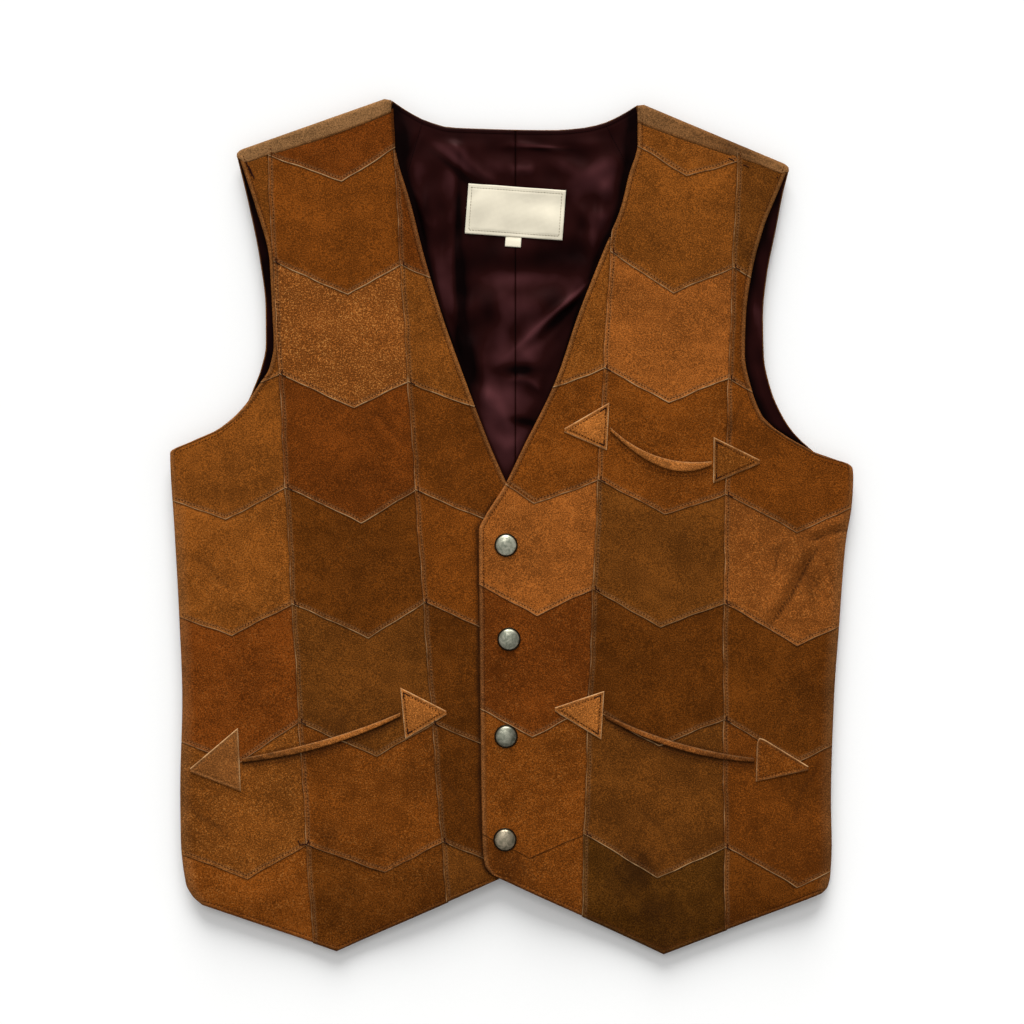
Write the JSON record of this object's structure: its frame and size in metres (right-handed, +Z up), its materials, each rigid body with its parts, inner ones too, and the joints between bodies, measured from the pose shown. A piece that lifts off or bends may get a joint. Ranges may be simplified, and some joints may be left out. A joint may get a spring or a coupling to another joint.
{
  "type": "suede vest",
  "caption": "Western patchwork suede vest laid flat on its back, fronts snapped shut, with chevron seams, arrow-tab welt pockets and a satin back lining; clothing prop or wardrobe piece",
  "frame": {"origin": "centre of the bounding box at the surface the vest lies on", "axes": "+Z up from that surface, +Y from the hem to the shoulders, +X towards the wearer's left"},
  "size_m": [0.468, 0.5884, 0.0119],
  "materials": {
    "suede_honey": "honey dyed suede, napped, matt",
    "suede_tan": "tan dyed suede, napped, matt",
    "suede_chestnut": "chestnut dyed suede, napped, matt",
    "suede_rust": "rust dyed suede, napped, matt",
    "suede_tobacco": "tobacco dyed suede, napped, matt",
    "suede_umber": "umber dyed suede, napped, matt",
    "suede_bark": "bark dyed suede, napped, matt",
    "satin_maroon": "dark maroon satin lining, soft sheen",
    "woven_cream": "cream woven label cloth, bare",
    "antique_nickel": "antique nickel plated snap caps, worn bright on the crown"
  },
  "bodies": {
    "root": {"right_side_1": "suede_tan", "right_side_2": "suede_tan", "right_side_3": "suede_tan", "right_side_4": "suede_rust", "right_side_5": "suede_tan", "right_side_6": "suede_chestnut", "right_middle_1": "suede_rust", "right_middle_2": "suede_chestnut", "right_middle_3": "suede_honey", "right_middle_4": "suede_rust", "right_middle_5": "suede_umber", "right_middle_6": "suede_tobacco", "right_middle_7": "suede_chestnut", "right_middle_8": "suede_umber", "right_centre_1": "suede_rust", "right_centre_2": "suede_tan", "right_centre_3": "suede_chestnut", "right_centre_4": "suede_chestnut", "right_centre_5": "suede_umber", "right_centre_6": "suede_umber", "right_centre_7": "suede_tobacco", "left_centre_1": "suede_tan", "left_centre_2": "suede_chestnut", "left_centre_3": "suede_honey", "left_centre_4": "suede_rust", "left_centre_5": "suede_chestnut", "left_centre_6": "suede_chestnut", "left_middle_1": "suede_tan", "left_middle_2": "suede_tan", "left_middle_3": "suede_honey", "left_middle_4": "suede_chestnut", "left_middle_5": "suede_tobacco", "left_middle_6": "suede_umber", "left_middle_7": "suede_tobacco", "left_middle_8": "suede_bark", "left_side_1": "suede_tobacco", "left_side_2": "suede_chestnut", "left_side_3": "suede_chestnut", "left_side_4": "suede_honey", "left_side_5": "suede_umber", "left_side_6": "suede_chestnut", "left_side_7": "suede_umber", "back": "suede_tobacco", "lining_right": "satin_maroon", "lining_left": "satin_maroon", "chest_welt": "suede_honey", "right_welt": "suede_honey", "left_welt": "suede_honey", "chest_tab_inner": "suede_honey", "chest_tab_outer": "suede_tan", "right_tab_outer": "suede_tan", "right_tab_inner": "suede_honey", "left_tab_inner": "suede_honey", "left_tab_outer": "suede_chestnut", "snap_1": "antique_nickel", "snap_2": "antique_nickel", "snap_3": "antique_nickel", "snap_4": "antique_nickel", "label": "woven_cream", "size_tab": "woven_cream"}
  },
  "joints": []
}
